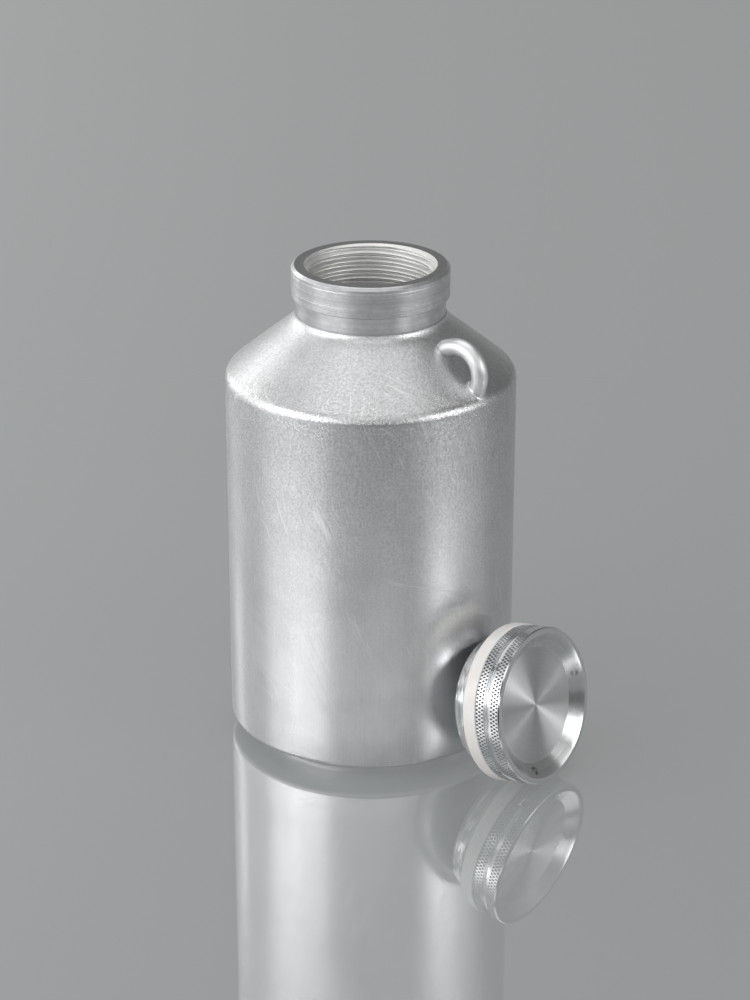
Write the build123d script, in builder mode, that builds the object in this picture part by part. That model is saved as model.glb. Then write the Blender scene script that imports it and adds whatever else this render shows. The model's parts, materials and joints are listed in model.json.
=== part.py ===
"""Aluminium screw cap bottle, open, with its cap leaning against the wall.

Millimetres, +Z up. The origin is on the bottle's axis, on the surface it stands on.
"""
from build123d import *
from math import atan, cos, degrees, radians, sin, sqrt, tan
import os

# ---- bottle: driving dimensions ----
BODY_R = 50.0               # outside radius of the can
WALL = 1.5                  # wall thickness of the can
BASE_Z = 5.0                # underside of the can above the surface
HEEL_R = 1.8                # bend between wall and underside
FOOT_R = 40.0               # the base is pressed down into a flat foot
FOOT_ROUND = 1.5
FLOOR_T = 2.4               # thickness of the can's base
INNER_HEEL_R = 4.0          # round corner inside, between base and wall
SHOULDER_CORNER_Z = 133.4   # where cone and wall would meet if the bend were sharp
SHOULDER_SLOPE = 38.9       # degrees below horizontal
SHOULDER_BEND_R = 5.0       # bend between cone and wall, outside
SHOULDER_T = 2.0            # thickness of the cone
MOUTH_R = 23.0              # hole in the shoulder under the collar

# ---- neck collar ----
RIM_Z = 171.2               # top of the bottle
COLLAR_R = 27.0             # turned band round the mouth
COLLAR_BAND_Z = 160.4       # lower edge of that band
STEM_R = 25.6               # stem between band and shoulder
RIM_BEVEL = 1.0
BAND_BEVEL = 0.5
THREAD_CREST_R = 20.9       # inside radius over the crests of the M45 x 3 thread
THREAD_ROOT_R = 22.4
THREAD_END_Z = 157.0        # lower end of the threaded bore
WELD_LEG = 1.7              # neck weld, height and width

# ---- seal eye ----
EYE_BEARING = -40.0         # degrees from +X towards +Y
EYE_BAR_R = 2.8
EYE_BEND_R = 8.9            # bend of the bar's centre line
EYE_BEND_CENTRE = (38.3, 141.2)   # radius, height
EYE_UPPER_DIP = 20.0        # degrees that the upper leg slopes down, inwards
EYE_LOWER_DIP = 16.0        # degrees that the bend carries on past vertical, inwards
EYE_UPPER_LEG = 8.5
EYE_LOWER_LEG = 5.0
EYE_WELD_ROOT = 3.0         # how deep inside the skin a bead's cone starts
EYE_UPPER_WELD = (1.8, 1.8)  # how far the cone's foot stands out round the bar, its height over the skin
EYE_LOWER_WELD = (3.4, 2.2)

# ---- cap, in its own frame: Z along its axis, face at 0, plug below ----
FLANGE_R = 27.0
FLANGE_T = 9.6
FLANGE_BEVEL = 0.4
GROOVE_TOP = 3.6            # groove between the two knurled bands
GROOVE_W = 2.6
GROOVE_DEPTH = 1.5
DISH_R = 24.9               # edge of the dish in the face
DISH_FLOOR_R = 20.1
DISH_DEPTH = 3.5
WIRE_HOLE_R = 1.45
WIRE_HOLE_BEARING = 9.0     # first of three
WIRE_HOLE_SLANT = 42.0      # degrees out of the flange's plane, rising inwards
PLUG_R = 22.3               # over the crests of the thread
PLUG_NECK_R = 20.9          # undercut that holds the gasket
PLUG_NECK_END = 15.4
PLUG_END = 22.9
PLUG_BEVEL = 0.9

# ---- gasket, in the cap's frame ----
GASKET_R = 27.2
GASKET_BORE_R = 21.0
GASKET_TOP = 9.7
GASKET_END = 15.1
GASKET_ROUND = 1.2

# ---- where the closed-up cap and gasket lean ----
LEAN_BEARING = -36.8        # degrees from +X: the way the face looks
LEAN_TILT = 10.5            # degrees that the face looks up
LEAN_DISTANCE = 77.1        # from the bottle's axis to the face's centre, along the bearing
LEAN_OFFSET = -4.3          # and square to it

os.makedirs("parts", exist_ok=True)


def cone_z(r):
    """Height of the shoulder's outer surface at radius r."""
    return SHOULDER_CORNER_Z + (BODY_R - r) * tan(radians(SHOULDER_SLOPE))


def save(piece, name):
    piece.label = name
    export_step(piece, f"parts/{name}.step")


# ---- bottle body ----
land_z = cone_z(STEM_R - 0.2)
bend_back = SHOULDER_BEND_R * tan(radians(90 - SHOULDER_SLOPE) / 2)
bend_start = (
    BODY_R - bend_back * cos(radians(SHOULDER_SLOPE)),
    SHOULDER_CORNER_Z + bend_back * sin(radians(SHOULDER_SLOPE)),
)
inner_drop = SHOULDER_T / cos(radians(SHOULDER_SLOPE))
inner_r = BODY_R - WALL
inner_corner_z = cone_z(inner_r) - inner_drop
inner_bend_r = SHOULDER_BEND_R - WALL
inner_back = inner_bend_r * tan(radians(90 - SHOULDER_SLOPE) / 2)
inner_bend_start = (
    inner_r - inner_back * cos(radians(SHOULDER_SLOPE)),
    inner_corner_z + inner_back * sin(radians(SHOULDER_SLOPE)),
)
inner_floor_z = BASE_Z + FLOOR_T

with BuildPart() as bottle_body:
    with BuildSketch(Plane.XZ):
        with BuildLine():
            # outside, from the axis out over the foot and up to the mouth
            sole = Line((0, 0), (FOOT_R - FOOT_ROUND, 0))
            foot = RadiusArc(sole @ 1, (FOOT_R, FOOT_ROUND), -FOOT_ROUND)
            step = Polyline(foot @ 1, (FOOT_R, BASE_Z), (BODY_R - HEEL_R, BASE_Z))
            heel = RadiusArc(step @ 1, (BODY_R, BASE_Z + HEEL_R), -HEEL_R)
            wall = Line(heel @ 1, (BODY_R, SHOULDER_CORNER_Z - bend_back))
            bend = RadiusArc(wall @ 1, bend_start, -SHOULDER_BEND_R)
            cone = Line(bend @ 1, (STEM_R - 0.2, land_z))
            land = Line(cone @ 1, (MOUTH_R, land_z))
            mouth = Line(land @ 1, (MOUTH_R, cone_z(MOUTH_R) - inner_drop))
            # inside, from the mouth back down to the floor
            inner_cone = Line(mouth @ 1, inner_bend_start)
            inner_bend = RadiusArc(inner_cone @ 1, (inner_r, inner_corner_z - inner_back), inner_bend_r)
            inner_wall = Line(inner_bend @ 1, (inner_r, inner_floor_z + INNER_HEEL_R))
            inner_heel = RadiusArc(inner_wall @ 1, (inner_r - INNER_HEEL_R, inner_floor_z), INNER_HEEL_R)
            Polyline(
                inner_heel @ 1,
                (FOOT_R - FLOOR_T + 1, inner_floor_z),
                (FOOT_R - FLOOR_T, inner_floor_z - 1),
                (FOOT_R - FLOOR_T, FLOOR_T + 1),
                (FOOT_R - FLOOR_T - 1, FLOOR_T),
                (0, FLOOR_T),
                sole @ 0,
            )
        make_face()
    revolve(axis=Axis.Z)
save(bottle_body.part, "bottle_body")

# ---- neck collar ----
countersink = THREAD_ROOT_R - THREAD_CREST_R
with BuildPart() as neck_collar:
    with BuildSketch(Plane.XZ):
        with BuildLine():
            Polyline(
                (MOUTH_R, land_z),
                (STEM_R, land_z),
                (STEM_R, COLLAR_BAND_Z),
                (COLLAR_R - BAND_BEVEL, COLLAR_BAND_Z),
                (COLLAR_R, COLLAR_BAND_Z + BAND_BEVEL),
                (COLLAR_R, RIM_Z - RIM_BEVEL),
                (COLLAR_R - RIM_BEVEL, RIM_Z),
                (THREAD_ROOT_R, RIM_Z),
                (THREAD_CREST_R, RIM_Z - countersink),
                (THREAD_CREST_R, THREAD_END_Z),
                (MOUTH_R, THREAD_END_Z - (MOUTH_R - THREAD_CREST_R)),
                close=True,
            )
        make_face()
    revolve(axis=Axis.Z)
save(neck_collar.part, "neck_collar")

# ---- neck weld: a hollow fillet between stem and cone ----
weld_foot_r = STEM_R + WELD_LEG
with BuildPart() as neck_weld:
    with BuildSketch(Plane.XZ):
        with BuildLine():
            stem_side = Line((STEM_R, land_z), (STEM_R, land_z + WELD_LEG))
            hollow = RadiusArc(stem_side @ 1, (weld_foot_r, cone_z(weld_foot_r)), 4 * WELD_LEG)
            Polyline(hollow @ 1, (STEM_R, cone_z(STEM_R)), stem_side @ 0)
        make_face()
    revolve(axis=Axis.Z)
save(neck_weld.part, "neck_weld")

# ---- seal eye: a bent bar in a plane through the bottle's axis ----
eye_plane = Plane(
    origin=(0, 0, 0),
    x_dir=(cos(radians(EYE_BEARING)), sin(radians(EYE_BEARING)), 0),
    z_dir=(sin(radians(EYE_BEARING)), -cos(radians(EYE_BEARING)), 0),
)
bend_r, bend_z = EYE_BEND_CENTRE
upper_dip = radians(EYE_UPPER_DIP)
lower_dip = radians(EYE_LOWER_DIP)
upper_tangent = (bend_r - EYE_BEND_R * sin(upper_dip), bend_z + EYE_BEND_R * cos(upper_dip))
upper_end = (
    upper_tangent[0] - EYE_UPPER_LEG * cos(upper_dip),
    upper_tangent[1] - EYE_UPPER_LEG * sin(upper_dip),
)
bend_top = (bend_r + EYE_BEND_R / sqrt(2), bend_z + EYE_BEND_R / sqrt(2))
lower_tangent = (bend_r + EYE_BEND_R * cos(lower_dip), bend_z - EYE_BEND_R * sin(lower_dip))
lower_end = (
    lower_tangent[0] - EYE_LOWER_LEG * sin(lower_dip),
    lower_tangent[1] - EYE_LOWER_LEG * cos(lower_dip),
)

with BuildPart() as shoulder_space:
    # everything inside the bottle's outer skin, to trim the eye and its beads against
    with BuildSketch(Plane.XZ):
        with BuildLine():
            skin_wall = Line((BODY_R, BASE_Z + 60), (BODY_R, SHOULDER_CORNER_Z - bend_back))
            skin_bend = RadiusArc(skin_wall @ 1, bend_start, -SHOULDER_BEND_R)
            skin_cone = Line(skin_bend @ 1, (STEM_R, cone_z(STEM_R)))
            Polyline(skin_cone @ 1, (0, cone_z(STEM_R)), (0, BASE_Z + 60), skin_wall @ 0)
        make_face()
    revolve(axis=Axis.Z)

with BuildPart() as seal_eye:
    with BuildLine(eye_plane) as eye_path:
        upper_leg = Line(upper_end, upper_tangent)
        bend_arc = ThreePointArc(upper_leg @ 1, bend_top, lower_tangent)
        Line(bend_arc @ 1, lower_end)
    with BuildSketch(Plane(origin=upper_leg @ 0, z_dir=upper_leg % 0)):
        Circle(EYE_BAR_R)
    sweep(path=eye_path.line)
    add(shoulder_space.part, mode=Mode.SUBTRACT)
save(seal_eye.part, "seal_eye")


def bead(centre, tilt, size, name):
    """A low weld bead round one end of the bar, on the shoulder: a cone, trimmed by both."""
    spread, height = size
    spot = eye_plane.from_local_coords(Vector(centre[0], centre[1], 0))
    normal = eye_plane.x_dir * sin(tilt) + Vector(0, 0, cos(tilt))
    top_spread = 0.3
    with BuildPart() as blob:
        with BuildSketch(Plane(origin=spot - normal * EYE_WELD_ROOT, z_dir=normal)):
            Circle(EYE_BAR_R + spread)
        extrude(
            amount=EYE_WELD_ROOT + height,
            taper=degrees(atan((spread - top_spread) / (EYE_WELD_ROOT + height))),
        )
        add(shoulder_space.part, mode=Mode.SUBTRACT)
        add(seal_eye.part, mode=Mode.SUBTRACT)
    save(blob.part, name)


# the upper leg's centre line meets the cone
rise = upper_tangent[1] - cone_z(upper_tangent[0])
leg_to_cone = rise / (sin(upper_dip) + cos(upper_dip) * tan(radians(SHOULDER_SLOPE)))
upper_foot = (
    upper_tangent[0] - leg_to_cone * cos(upper_dip),
    upper_tangent[1] - leg_to_cone * sin(upper_dip),
)
# the lower leg's meets it too, just above the bend into the wall
rise = lower_tangent[1] - cone_z(lower_tangent[0])
leg_to_cone = rise / (cos(lower_dip) + sin(lower_dip) * tan(radians(SHOULDER_SLOPE)))
lower_foot = (
    lower_tangent[0] - leg_to_cone * sin(lower_dip),
    lower_tangent[1] - leg_to_cone * cos(lower_dip),
)
bead(upper_foot, radians(SHOULDER_SLOPE), EYE_UPPER_WELD, "eye_weld_upper")
bead(lower_foot, radians(SHOULDER_SLOPE), EYE_LOWER_WELD, "eye_weld_lower")

# ---- the leaning cap's own planes ----
bearing = radians(LEAN_BEARING)
tilt = radians(LEAN_TILT)
outwards = Vector(cos(bearing), sin(bearing), 0)
square = Vector(-sin(bearing), cos(bearing), 0)
cap_axis = outwards * cos(tilt) + Vector(0, 0, sin(tilt))
# the gasket's rounded rear edge is the lowest point and touches the surface
face_height = (
    (GASKET_END - GASKET_ROUND) * sin(tilt) + (GASKET_R - GASKET_ROUND) * cos(tilt) + GASKET_ROUND
)
face_centre = outwards * LEAN_DISTANCE + square * LEAN_OFFSET + Vector(0, 0, face_height)
cap_plane = Plane(origin=face_centre, x_dir=square, z_dir=cap_axis)
cap_section = Plane(origin=face_centre, x_dir=square, z_dir=-cap_plane.y_dir)

# ---- screw cap: one turned piece ----
dish_mid_r = (DISH_R + DISH_FLOOR_R) / 2
with BuildPart() as screw_cap:
    with BuildSketch(cap_section):
        with BuildLine():
            Polyline(
                (0, -DISH_DEPTH),
                (DISH_FLOOR_R, -DISH_DEPTH),
                (DISH_R, 0),
                (FLANGE_R - FLANGE_BEVEL, 0),
                (FLANGE_R, -FLANGE_BEVEL),
                (FLANGE_R, -GROOVE_TOP),
                (FLANGE_R - GROOVE_DEPTH, -GROOVE_TOP - GROOVE_DEPTH / 5),
                (FLANGE_R - GROOVE_DEPTH, -GROOVE_TOP - GROOVE_W + GROOVE_DEPTH / 5),
                (FLANGE_R, -GROOVE_TOP - GROOVE_W),
                (FLANGE_R, -FLANGE_T + FLANGE_BEVEL),
                (FLANGE_R - FLANGE_BEVEL, -FLANGE_T),
                (PLUG_NECK_R, -FLANGE_T),
                (PLUG_NECK_R, -PLUG_NECK_END),
                (PLUG_R - PLUG_BEVEL, -PLUG_NECK_END),
                (PLUG_R, -PLUG_NECK_END - PLUG_BEVEL),
                (PLUG_R, -PLUG_END + PLUG_BEVEL),
                (PLUG_R - PLUG_BEVEL, -PLUG_END),
                (0, -PLUG_END),
                close=True,
            )
        make_face()
    revolve(axis=Axis(face_centre, cap_axis))
    for turn in range(3):
        angle = radians(WIRE_HOLE_BEARING + 120 * turn)
        ray = cap_plane.x_dir * cos(angle) + cap_plane.y_dir * sin(angle)
        drill = ray * cos(radians(WIRE_HOLE_SLANT)) - cap_axis * sin(radians(WIRE_HOLE_SLANT))
        start = face_centre + ray * dish_mid_r - cap_axis * (DISH_DEPTH / 2) - drill * (2 * WIRE_HOLE_R)
        with BuildSketch(Plane(origin=start, z_dir=drill)):
            Circle(WIRE_HOLE_R)
        extrude(amount=2 * WIRE_HOLE_R + FLANGE_R - DISH_FLOOR_R, mode=Mode.SUBTRACT)
save(screw_cap.part, "screw_cap")

# ---- gasket, captive on the plug's undercut ----
with BuildPart() as gasket:
    with BuildSketch(cap_section):
        with BuildLine():
            top = Polyline((GASKET_BORE_R, -GASKET_END), (GASKET_BORE_R, -GASKET_TOP), (GASKET_R - 0.3, -GASKET_TOP))
            side = Polyline(top @ 1, (GASKET_R, -GASKET_TOP - 0.3), (GASKET_R, -GASKET_END + GASKET_ROUND))
            edge = RadiusArc(side @ 1, (GASKET_R - GASKET_ROUND, -GASKET_END), GASKET_ROUND)
            Line(edge @ 1, top @ 0)
        make_face()
    revolve(axis=Axis(face_centre, cap_axis))
save(gasket.part, "gasket")
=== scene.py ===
"""Looks of an open aluminium screw cap bottle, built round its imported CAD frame.

Profiles are written in millimetres, as a turner's drawing gives them, and made into metres
when the mesh is built. Row frame: +Z up, origin on the bottle's axis on the standing surface.
"""
import json
import math
import random

import bmesh
import bpy
from mathutils import Matrix, Vector


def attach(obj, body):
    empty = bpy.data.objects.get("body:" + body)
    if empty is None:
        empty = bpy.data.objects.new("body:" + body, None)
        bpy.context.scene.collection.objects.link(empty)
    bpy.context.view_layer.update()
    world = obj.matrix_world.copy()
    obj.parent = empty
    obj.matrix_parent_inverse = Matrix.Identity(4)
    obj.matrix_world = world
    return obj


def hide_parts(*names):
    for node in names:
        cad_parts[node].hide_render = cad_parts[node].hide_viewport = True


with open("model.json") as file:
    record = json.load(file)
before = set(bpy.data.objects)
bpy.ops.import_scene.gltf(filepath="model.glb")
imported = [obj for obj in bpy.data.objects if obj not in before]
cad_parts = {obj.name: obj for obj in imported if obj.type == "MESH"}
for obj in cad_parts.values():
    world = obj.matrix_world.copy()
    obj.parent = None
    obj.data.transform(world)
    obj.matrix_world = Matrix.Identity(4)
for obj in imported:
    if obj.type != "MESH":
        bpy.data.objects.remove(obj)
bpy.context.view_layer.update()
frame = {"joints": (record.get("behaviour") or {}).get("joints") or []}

MM = 0.001
TURNS = 256                 # facets round every turned piece


# ---------------------------------------------------------------- drawing sizes

BODY_R = 50.0               # outside of the can
WALL = 1.5
BASE_Z = 5.0                # underside of the can, over its foot
HEEL_R = 1.8
FOOT_R = 40.0
FOOT_ROUND = 1.5
FLOOR_T = 2.4
INNER_HEEL_R = 4.0
SHOULDER_CORNER_Z = 133.4   # where cone and wall would meet if the bend were sharp
SHOULDER_SLOPE = math.radians(38.9)
SHOULDER_BEND_R = 5.0
SHOULDER_T = 2.0
MOUTH_R = 23.0

RIM_Z = 171.2               # top of the bottle
COLLAR_R = 27.0
COLLAR_BAND_Z = 160.4       # lower edge of the collar's thick band
STEM_R = 25.6
RIM_BEVEL = 1.0
BAND_BEVEL = 0.5
PITCH = 3.0                 # of both threads
THREAD_CREST_R = 20.9
THREAD_ROOT_R = 22.4
THREAD_END_Z = 157.0
WELD_LEG = 1.7
GRAIN_PEAK_Z = 130.0        # where the shoulder's etched grain is coarsest
BURNISH_Z = 132.0           # middle of the band that the spinning roller burnished

EYE_BEARING = math.radians(-40.0)
EYE_BAR_R = 2.8
EYE_BEND_R = 8.9
EYE_BEND_CENTRE = (38.3, 141.2)
EYE_UPPER_DIP = math.radians(20.0)
EYE_LOWER_DIP = math.radians(16.0)

FLANGE_R = 27.0             # the cap, in its own frame: face at 0, plug below
FLANGE_T = 9.6
FLANGE_BEVEL = 0.4
GROOVE_TOP = 3.6
GROOVE_W = 2.6
GROOVE_DEPTH = 1.5
DISH_R = 24.9
DISH_FLOOR_R = 20.1
DISH_DEPTH = 3.5
WIRE_HOLE_R = 1.45
WIRE_HOLE_BEARING = math.radians(9.0)
WIRE_HOLE_SLANT = math.radians(42.0)
PLUG_R = 22.3
PLUG_ROOT_R = 20.9
PLUG_NECK_R = 20.9
PLUG_NECK_END = 15.4
PLUG_END = 22.9
KNURL_PITCH = 1.3           # round the flange
KNURL_ROW = 1.13            # from one staggered row of points to the next: a 30 degree knurl
KNURL_DEPTH = 0.45
KNURL_PIT_SHARE = 0.68      # how much of a cell is pit, the rest is land
KNURL_BOTTOM_SHARE = 0.15   # the pit's flat bottom against its mouth

GASKET_R = 27.2
GASKET_BORE_R = 21.0
GASKET_TOP = 9.7
GASKET_END = 15.1
GASKET_ROUND = 1.2


# ---------------------------------------------------------------- node trees

COLOUR_MIX = {"data_type": "RGBA"}


def add_node(tree, kind, settings=(), inputs=()):
    """Adds a node, sets its properties, and fills or links its inputs."""
    node = tree.nodes.new(kind)
    for key, value in dict(settings).items():
        setattr(node, key, value)
    for key, value in dict(inputs).items():
        if isinstance(value, bpy.types.NodeSocket):
            tree.links.new(value, node.inputs[key])
        else:
            node.inputs[key].default_value = value
    return node


def joined(tree, kind, *inputs, **settings):
    """The first output of a new node whose inputs are given in order."""
    return add_node(tree, kind, settings, dict(enumerate(inputs))).outputs[0]


def per_metre(size_mm):
    """A pattern's scale, in features per metre, from the size of one feature."""
    return 1 / (size_mm * MM)


# ---------------------------------------------------------------- turned shapes

def arc(centre, radius, start, end, steps=10):
    """Points (r, z) on a round stretch of a profile, from one angle to another in degrees."""
    points = []
    for i in range(steps + 1):
        a = math.radians(start + (end - start) * i / steps)
        points.append((centre[0] + radius * math.cos(a), centre[1] + radius * math.sin(a)))
    return points


def lathe(bm, profile, closed=True):
    """Turns a profile of (r, z) points about Z into bm. A point on the axis becomes one vertex."""
    rings = []
    for r, z in profile:
        if r < 1e-6:
            rings.append([bm.verts.new((0, 0, z))] * TURNS)
            continue
        ring = []
        for j in range(TURNS):
            a = math.tau * j / TURNS
            ring.append(bm.verts.new((r * math.cos(a), r * math.sin(a), z)))
        rings.append(ring)
    pairs = list(zip(rings, rings[1:]))
    if closed:
        pairs.append((rings[-1], rings[0]))
    for low, high in pairs:
        for j in range(TURNS):
            k = (j + 1) % TURNS
            corners = dict.fromkeys((low[j], low[k], high[k], high[j]))
            if len(corners) > 2:
                bm.faces.new(tuple(corners))


def thread(bm, z_low, z_high, crest, root, trim, pick):
    """A helical thread wall between two heights.

    trim(z) is the radius that the bevels leave there, and pick is max in a bore and min on a plug.
    Each row of vertices climbs one pitch per turn, so a row's end is the start of the row one pitch up.
    """
    # the worn, rounded form of one pitch: (share of the pitch, share of the depth), crest first
    form = [(i / 12, (1 - math.cos(math.tau * i / 12)) / 2) for i in range(12)]
    turns = int((z_high - z_low) / PITCH) + 3
    rows = []
    for i in range(turns * len(form)):
        start, depth = form[i % len(form)]
        radius = crest + (root - crest) * depth
        row = []
        for j in range(TURNS):
            z = z_low + PITCH * (i // len(form) - 1 + start + j / TURNS)
            z = min(max(z, z_low), z_high)
            r = pick(radius, trim(z))
            a = math.tau * j / TURNS
            row.append(bm.verts.new((r * math.cos(a), r * math.sin(a), z)))
        rows.append(row)
    for i in range(len(rows) - 1):
        for j in range(TURNS):
            if j + 1 < TURNS:
                right_low, right_high = rows[i][j + 1], rows[i + 1][j + 1]
            elif i + 1 + len(form) < len(rows):
                right_low, right_high = rows[i + len(form)][0], rows[i + 1 + len(form)][0]
            else:
                continue
            bm.faces.new((rows[i][j], right_low, right_high, rows[i + 1][j]))


def finish_mesh(bm, name, place=None, sharp=24.0):
    """Closes bm, turns it outwards, puts it in metres in the row frame and makes the piece."""
    bmesh.ops.remove_doubles(bm, verts=bm.verts, dist=2e-4)
    bmesh.ops.dissolve_degenerate(bm, edges=bm.edges, dist=1e-5)
    bmesh.ops.recalc_face_normals(bm, faces=bm.faces)
    if bm.calc_volume(signed=True) < 0:
        bmesh.ops.reverse_faces(bm, faces=bm.faces)
    layer = bm.loops.layers.uv.new("turning")
    for face in bm.faces:
        face.smooth = True
        middle = face.calc_center_median()
        facing = math.atan2(middle.y, middle.x)
        for loop in face.loops:
            co = loop.vert.co
            r = math.hypot(co.x, co.y)
            turn = 0.0 if r < 1e-4 else math.remainder(math.atan2(co.y, co.x) - facing, math.tau)
            # v mixes radius and height, so that no bevel of the object makes it stand still
            loop[layer].uv = ((facing + turn) / math.tau, (0.8 * r + 0.31 * co.z) / 100)
    mesh = bpy.data.meshes.new(name)
    bm.to_mesh(mesh)
    bm.free()
    mesh.transform(Matrix.Scale(MM, 4))
    if place:
        mesh.transform(place)
    mesh.set_sharp_from_angle(angle=math.radians(sharp))
    piece = bpy.data.objects.new(name, mesh)
    bpy.context.collection.objects.link(piece)
    return piece


def cone_z(r):
    """Height of the shoulder's outer cone at radius r."""
    return SHOULDER_CORNER_Z + (BODY_R - r) * math.tan(SHOULDER_SLOPE)


BEND_BACK = SHOULDER_BEND_R * math.tan((math.pi / 2 - SHOULDER_SLOPE) / 2)
BEND_CENTRE = (BODY_R - SHOULDER_BEND_R, SHOULDER_CORNER_Z - BEND_BACK)
BEND_TOP_R = BEND_CENTRE[0] + SHOULDER_BEND_R * math.sin(SHOULDER_SLOPE)


# ---------------------------------------------------------------- bottle

def make_bottle_shell():
    """Foot, base, wall, bend and cone in one piece of sheet, outside and inside."""
    slope = math.degrees(SHOULDER_SLOPE)
    inner_drop = SHOULDER_T / math.cos(SHOULDER_SLOPE)
    inner_r = BODY_R - WALL
    inner_bend_r = SHOULDER_BEND_R - WALL
    inner_floor_z = BASE_Z + FLOOR_T
    wall_steps = 12
    seat_r = STEM_R - 0.2       # the flat seat under the collar
    inner_back = inner_bend_r * math.tan((math.pi / 2 - SHOULDER_SLOPE) / 2)
    inner_bend = (inner_r - inner_bend_r, cone_z(inner_r) - inner_drop - inner_back)
    profile = [(0, 0)]
    profile += arc((FOOT_R - FOOT_ROUND, FOOT_ROUND), FOOT_ROUND, -90, 0, 5)
    profile += [(FOOT_R, BASE_Z)]
    profile += arc((BODY_R - HEEL_R, BASE_Z + HEEL_R), HEEL_R, -90, 0, 8)
    wall_top = SHOULDER_CORNER_Z - BEND_BACK
    wall_base = BASE_Z + HEEL_R
    profile += [(BODY_R, wall_base + (wall_top - wall_base) * i / wall_steps) for i in range(1, wall_steps)]
    profile += arc(BEND_CENTRE, SHOULDER_BEND_R, 0, 90 - slope, 20)
    profile += [(seat_r, cone_z(seat_r)), (MOUTH_R, cone_z(seat_r))]
    profile += [(MOUTH_R, cone_z(MOUTH_R) - inner_drop)]
    profile += arc(inner_bend, inner_bend_r, 90 - slope, 0, 12)
    profile += arc((inner_r - INNER_HEEL_R, inner_floor_z + INNER_HEEL_R), INNER_HEEL_R, 0, -90, 8)
    profile += [(FOOT_R - FLOOR_T, inner_floor_z - 0.6), (FOOT_R - FLOOR_T - 0.8, FLOOR_T), (0, FLOOR_T)]
    bm = bmesh.new()
    lathe(bm, profile, closed=False)
    piece = finish_mesh(bm, "bottle_shell")
    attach(piece, "bottle")
    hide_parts("bottle_body")
    return piece


def make_neck_ring():
    """The collar, with the feed lines that a turning tool leaves and a real thread in its bore."""
    land_z = cone_z(STEM_R - 0.2)
    relief_r = THREAD_ROOT_R + 0.1
    relief_z = THREAD_END_Z - (relief_r - THREAD_CREST_R)
    countersink_z = RIM_Z - 0.2     # where the countersink over the thread starts
    hollow = 0.5                    # the tool's corner between stem and band
    profile = [(relief_r, relief_z), (MOUTH_R, THREAD_END_Z - (MOUTH_R - THREAD_CREST_R))]
    profile += [(MOUTH_R, land_z), (STEM_R, land_z), (STEM_R, COLLAR_BAND_Z - hollow)]
    profile += arc((STEM_R + hollow, COLLAR_BAND_Z - hollow), hollow, 180, 90, 4)
    profile += arc((COLLAR_R - BAND_BEVEL, COLLAR_BAND_Z + BAND_BEVEL), BAND_BEVEL, -90, 0, 5)
    feed = random.Random(5)
    z = COLLAR_BAND_Z + BAND_BEVEL + 0.5
    while z < RIM_Z - RIM_BEVEL - 0.6:
        depth = 0.005 + 0.045 * feed.random() ** 3
        profile += [(COLLAR_R, z), (COLLAR_R - depth, z + 0.1)]
        profile += [(COLLAR_R - depth, z + 0.2), (COLLAR_R, z + 0.3)]
        z += 0.36 + 0.3 * feed.random()
    profile += [(COLLAR_R, RIM_Z - RIM_BEVEL), (COLLAR_R - 0.12, RIM_Z - RIM_BEVEL + 0.16)]
    profile += [(COLLAR_R - RIM_BEVEL + 0.1, RIM_Z - 0.08), (COLLAR_R - RIM_BEVEL, RIM_Z)]
    profile += [(THREAD_ROOT_R + 0.25, RIM_Z), (THREAD_ROOT_R, countersink_z)]

    def trim(z):
        return max(THREAD_ROOT_R - 1.6 * (countersink_z - z), THREAD_CREST_R + (THREAD_END_Z - z))

    bm = bmesh.new()
    lathe(bm, profile, closed=False)
    thread(bm, relief_z, countersink_z, THREAD_CREST_R, THREAD_ROOT_R, trim, max)
    piece = finish_mesh(bm, "neck_ring")
    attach(piece, "bottle")
    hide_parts("neck_collar")
    return piece


def make_neck_weld():
    """The hollow fillet under the stem: it runs out smoothly on the cone and leaves a thin seam on top."""
    run_out = 1.6       # how far past the weld's leg the bead was blended away
    foot_r = STEM_R + WELD_LEG + run_out
    lip = (STEM_R + 0.3, cone_z(STEM_R) + 1.3)
    corner = (STEM_R + 0.5, cone_z(STEM_R + 0.5))
    seam_z = lip[1] - 0.15
    hidden_r = STEM_R - 0.1
    profile = [(hidden_r, cone_z(STEM_R) - 0.5), (hidden_r, seam_z), (STEM_R + 0.1, seam_z)]
    profile += [(STEM_R + 0.2, lip[1] - 0.04)]
    # a curve from the lip to the foot, tangent to the cone where it ends
    for i in range(13):
        t = i / 12
        r = (1 - t) ** 2 * lip[0] + 2 * t * (1 - t) * corner[0] + t**2 * foot_r
        z = (1 - t) ** 2 * lip[1] + 2 * t * (1 - t) * corner[1] + t**2 * cone_z(foot_r)
        profile.append((r, z + 0.01))
    profile += [(foot_r, cone_z(foot_r) - 0.3)]
    bm = bmesh.new()
    lathe(bm, profile)
    piece = finish_mesh(bm, "neck_weld_fillet", sharp=50)
    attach(piece, "bottle")
    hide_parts("neck_weld")
    return piece


# ---------------------------------------------------------------- seal eye

EYE_OUT = Vector((math.cos(EYE_BEARING), math.sin(EYE_BEARING), 0))
EYE_SIDE = Vector((-EYE_OUT.y, EYE_OUT.x, 0))


def skin_gap(spot):
    """How far a spot stands out of the shoulder's skin, with the skin's point and normal under it."""
    r = math.hypot(spot.x, spot.y)
    out = Vector((spot.x / r, spot.y / r, 0))
    sine, cosine = math.sin(SHOULDER_SLOPE), math.cos(SHOULDER_SLOPE)
    gap = (r - BODY_R) * sine + (spot.z - SHOULDER_CORNER_Z) * cosine
    if r - gap * sine > BEND_TOP_R:
        across, up = r - BEND_CENTRE[0], spot.z - BEND_CENTRE[1]
        reach = math.hypot(across, up)
        gap, sine, cosine = reach - SHOULDER_BEND_R, across / reach, up / reach
    normal = out * sine + Vector((0, 0, cosine))
    return gap, spot - normal * gap, normal


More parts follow.
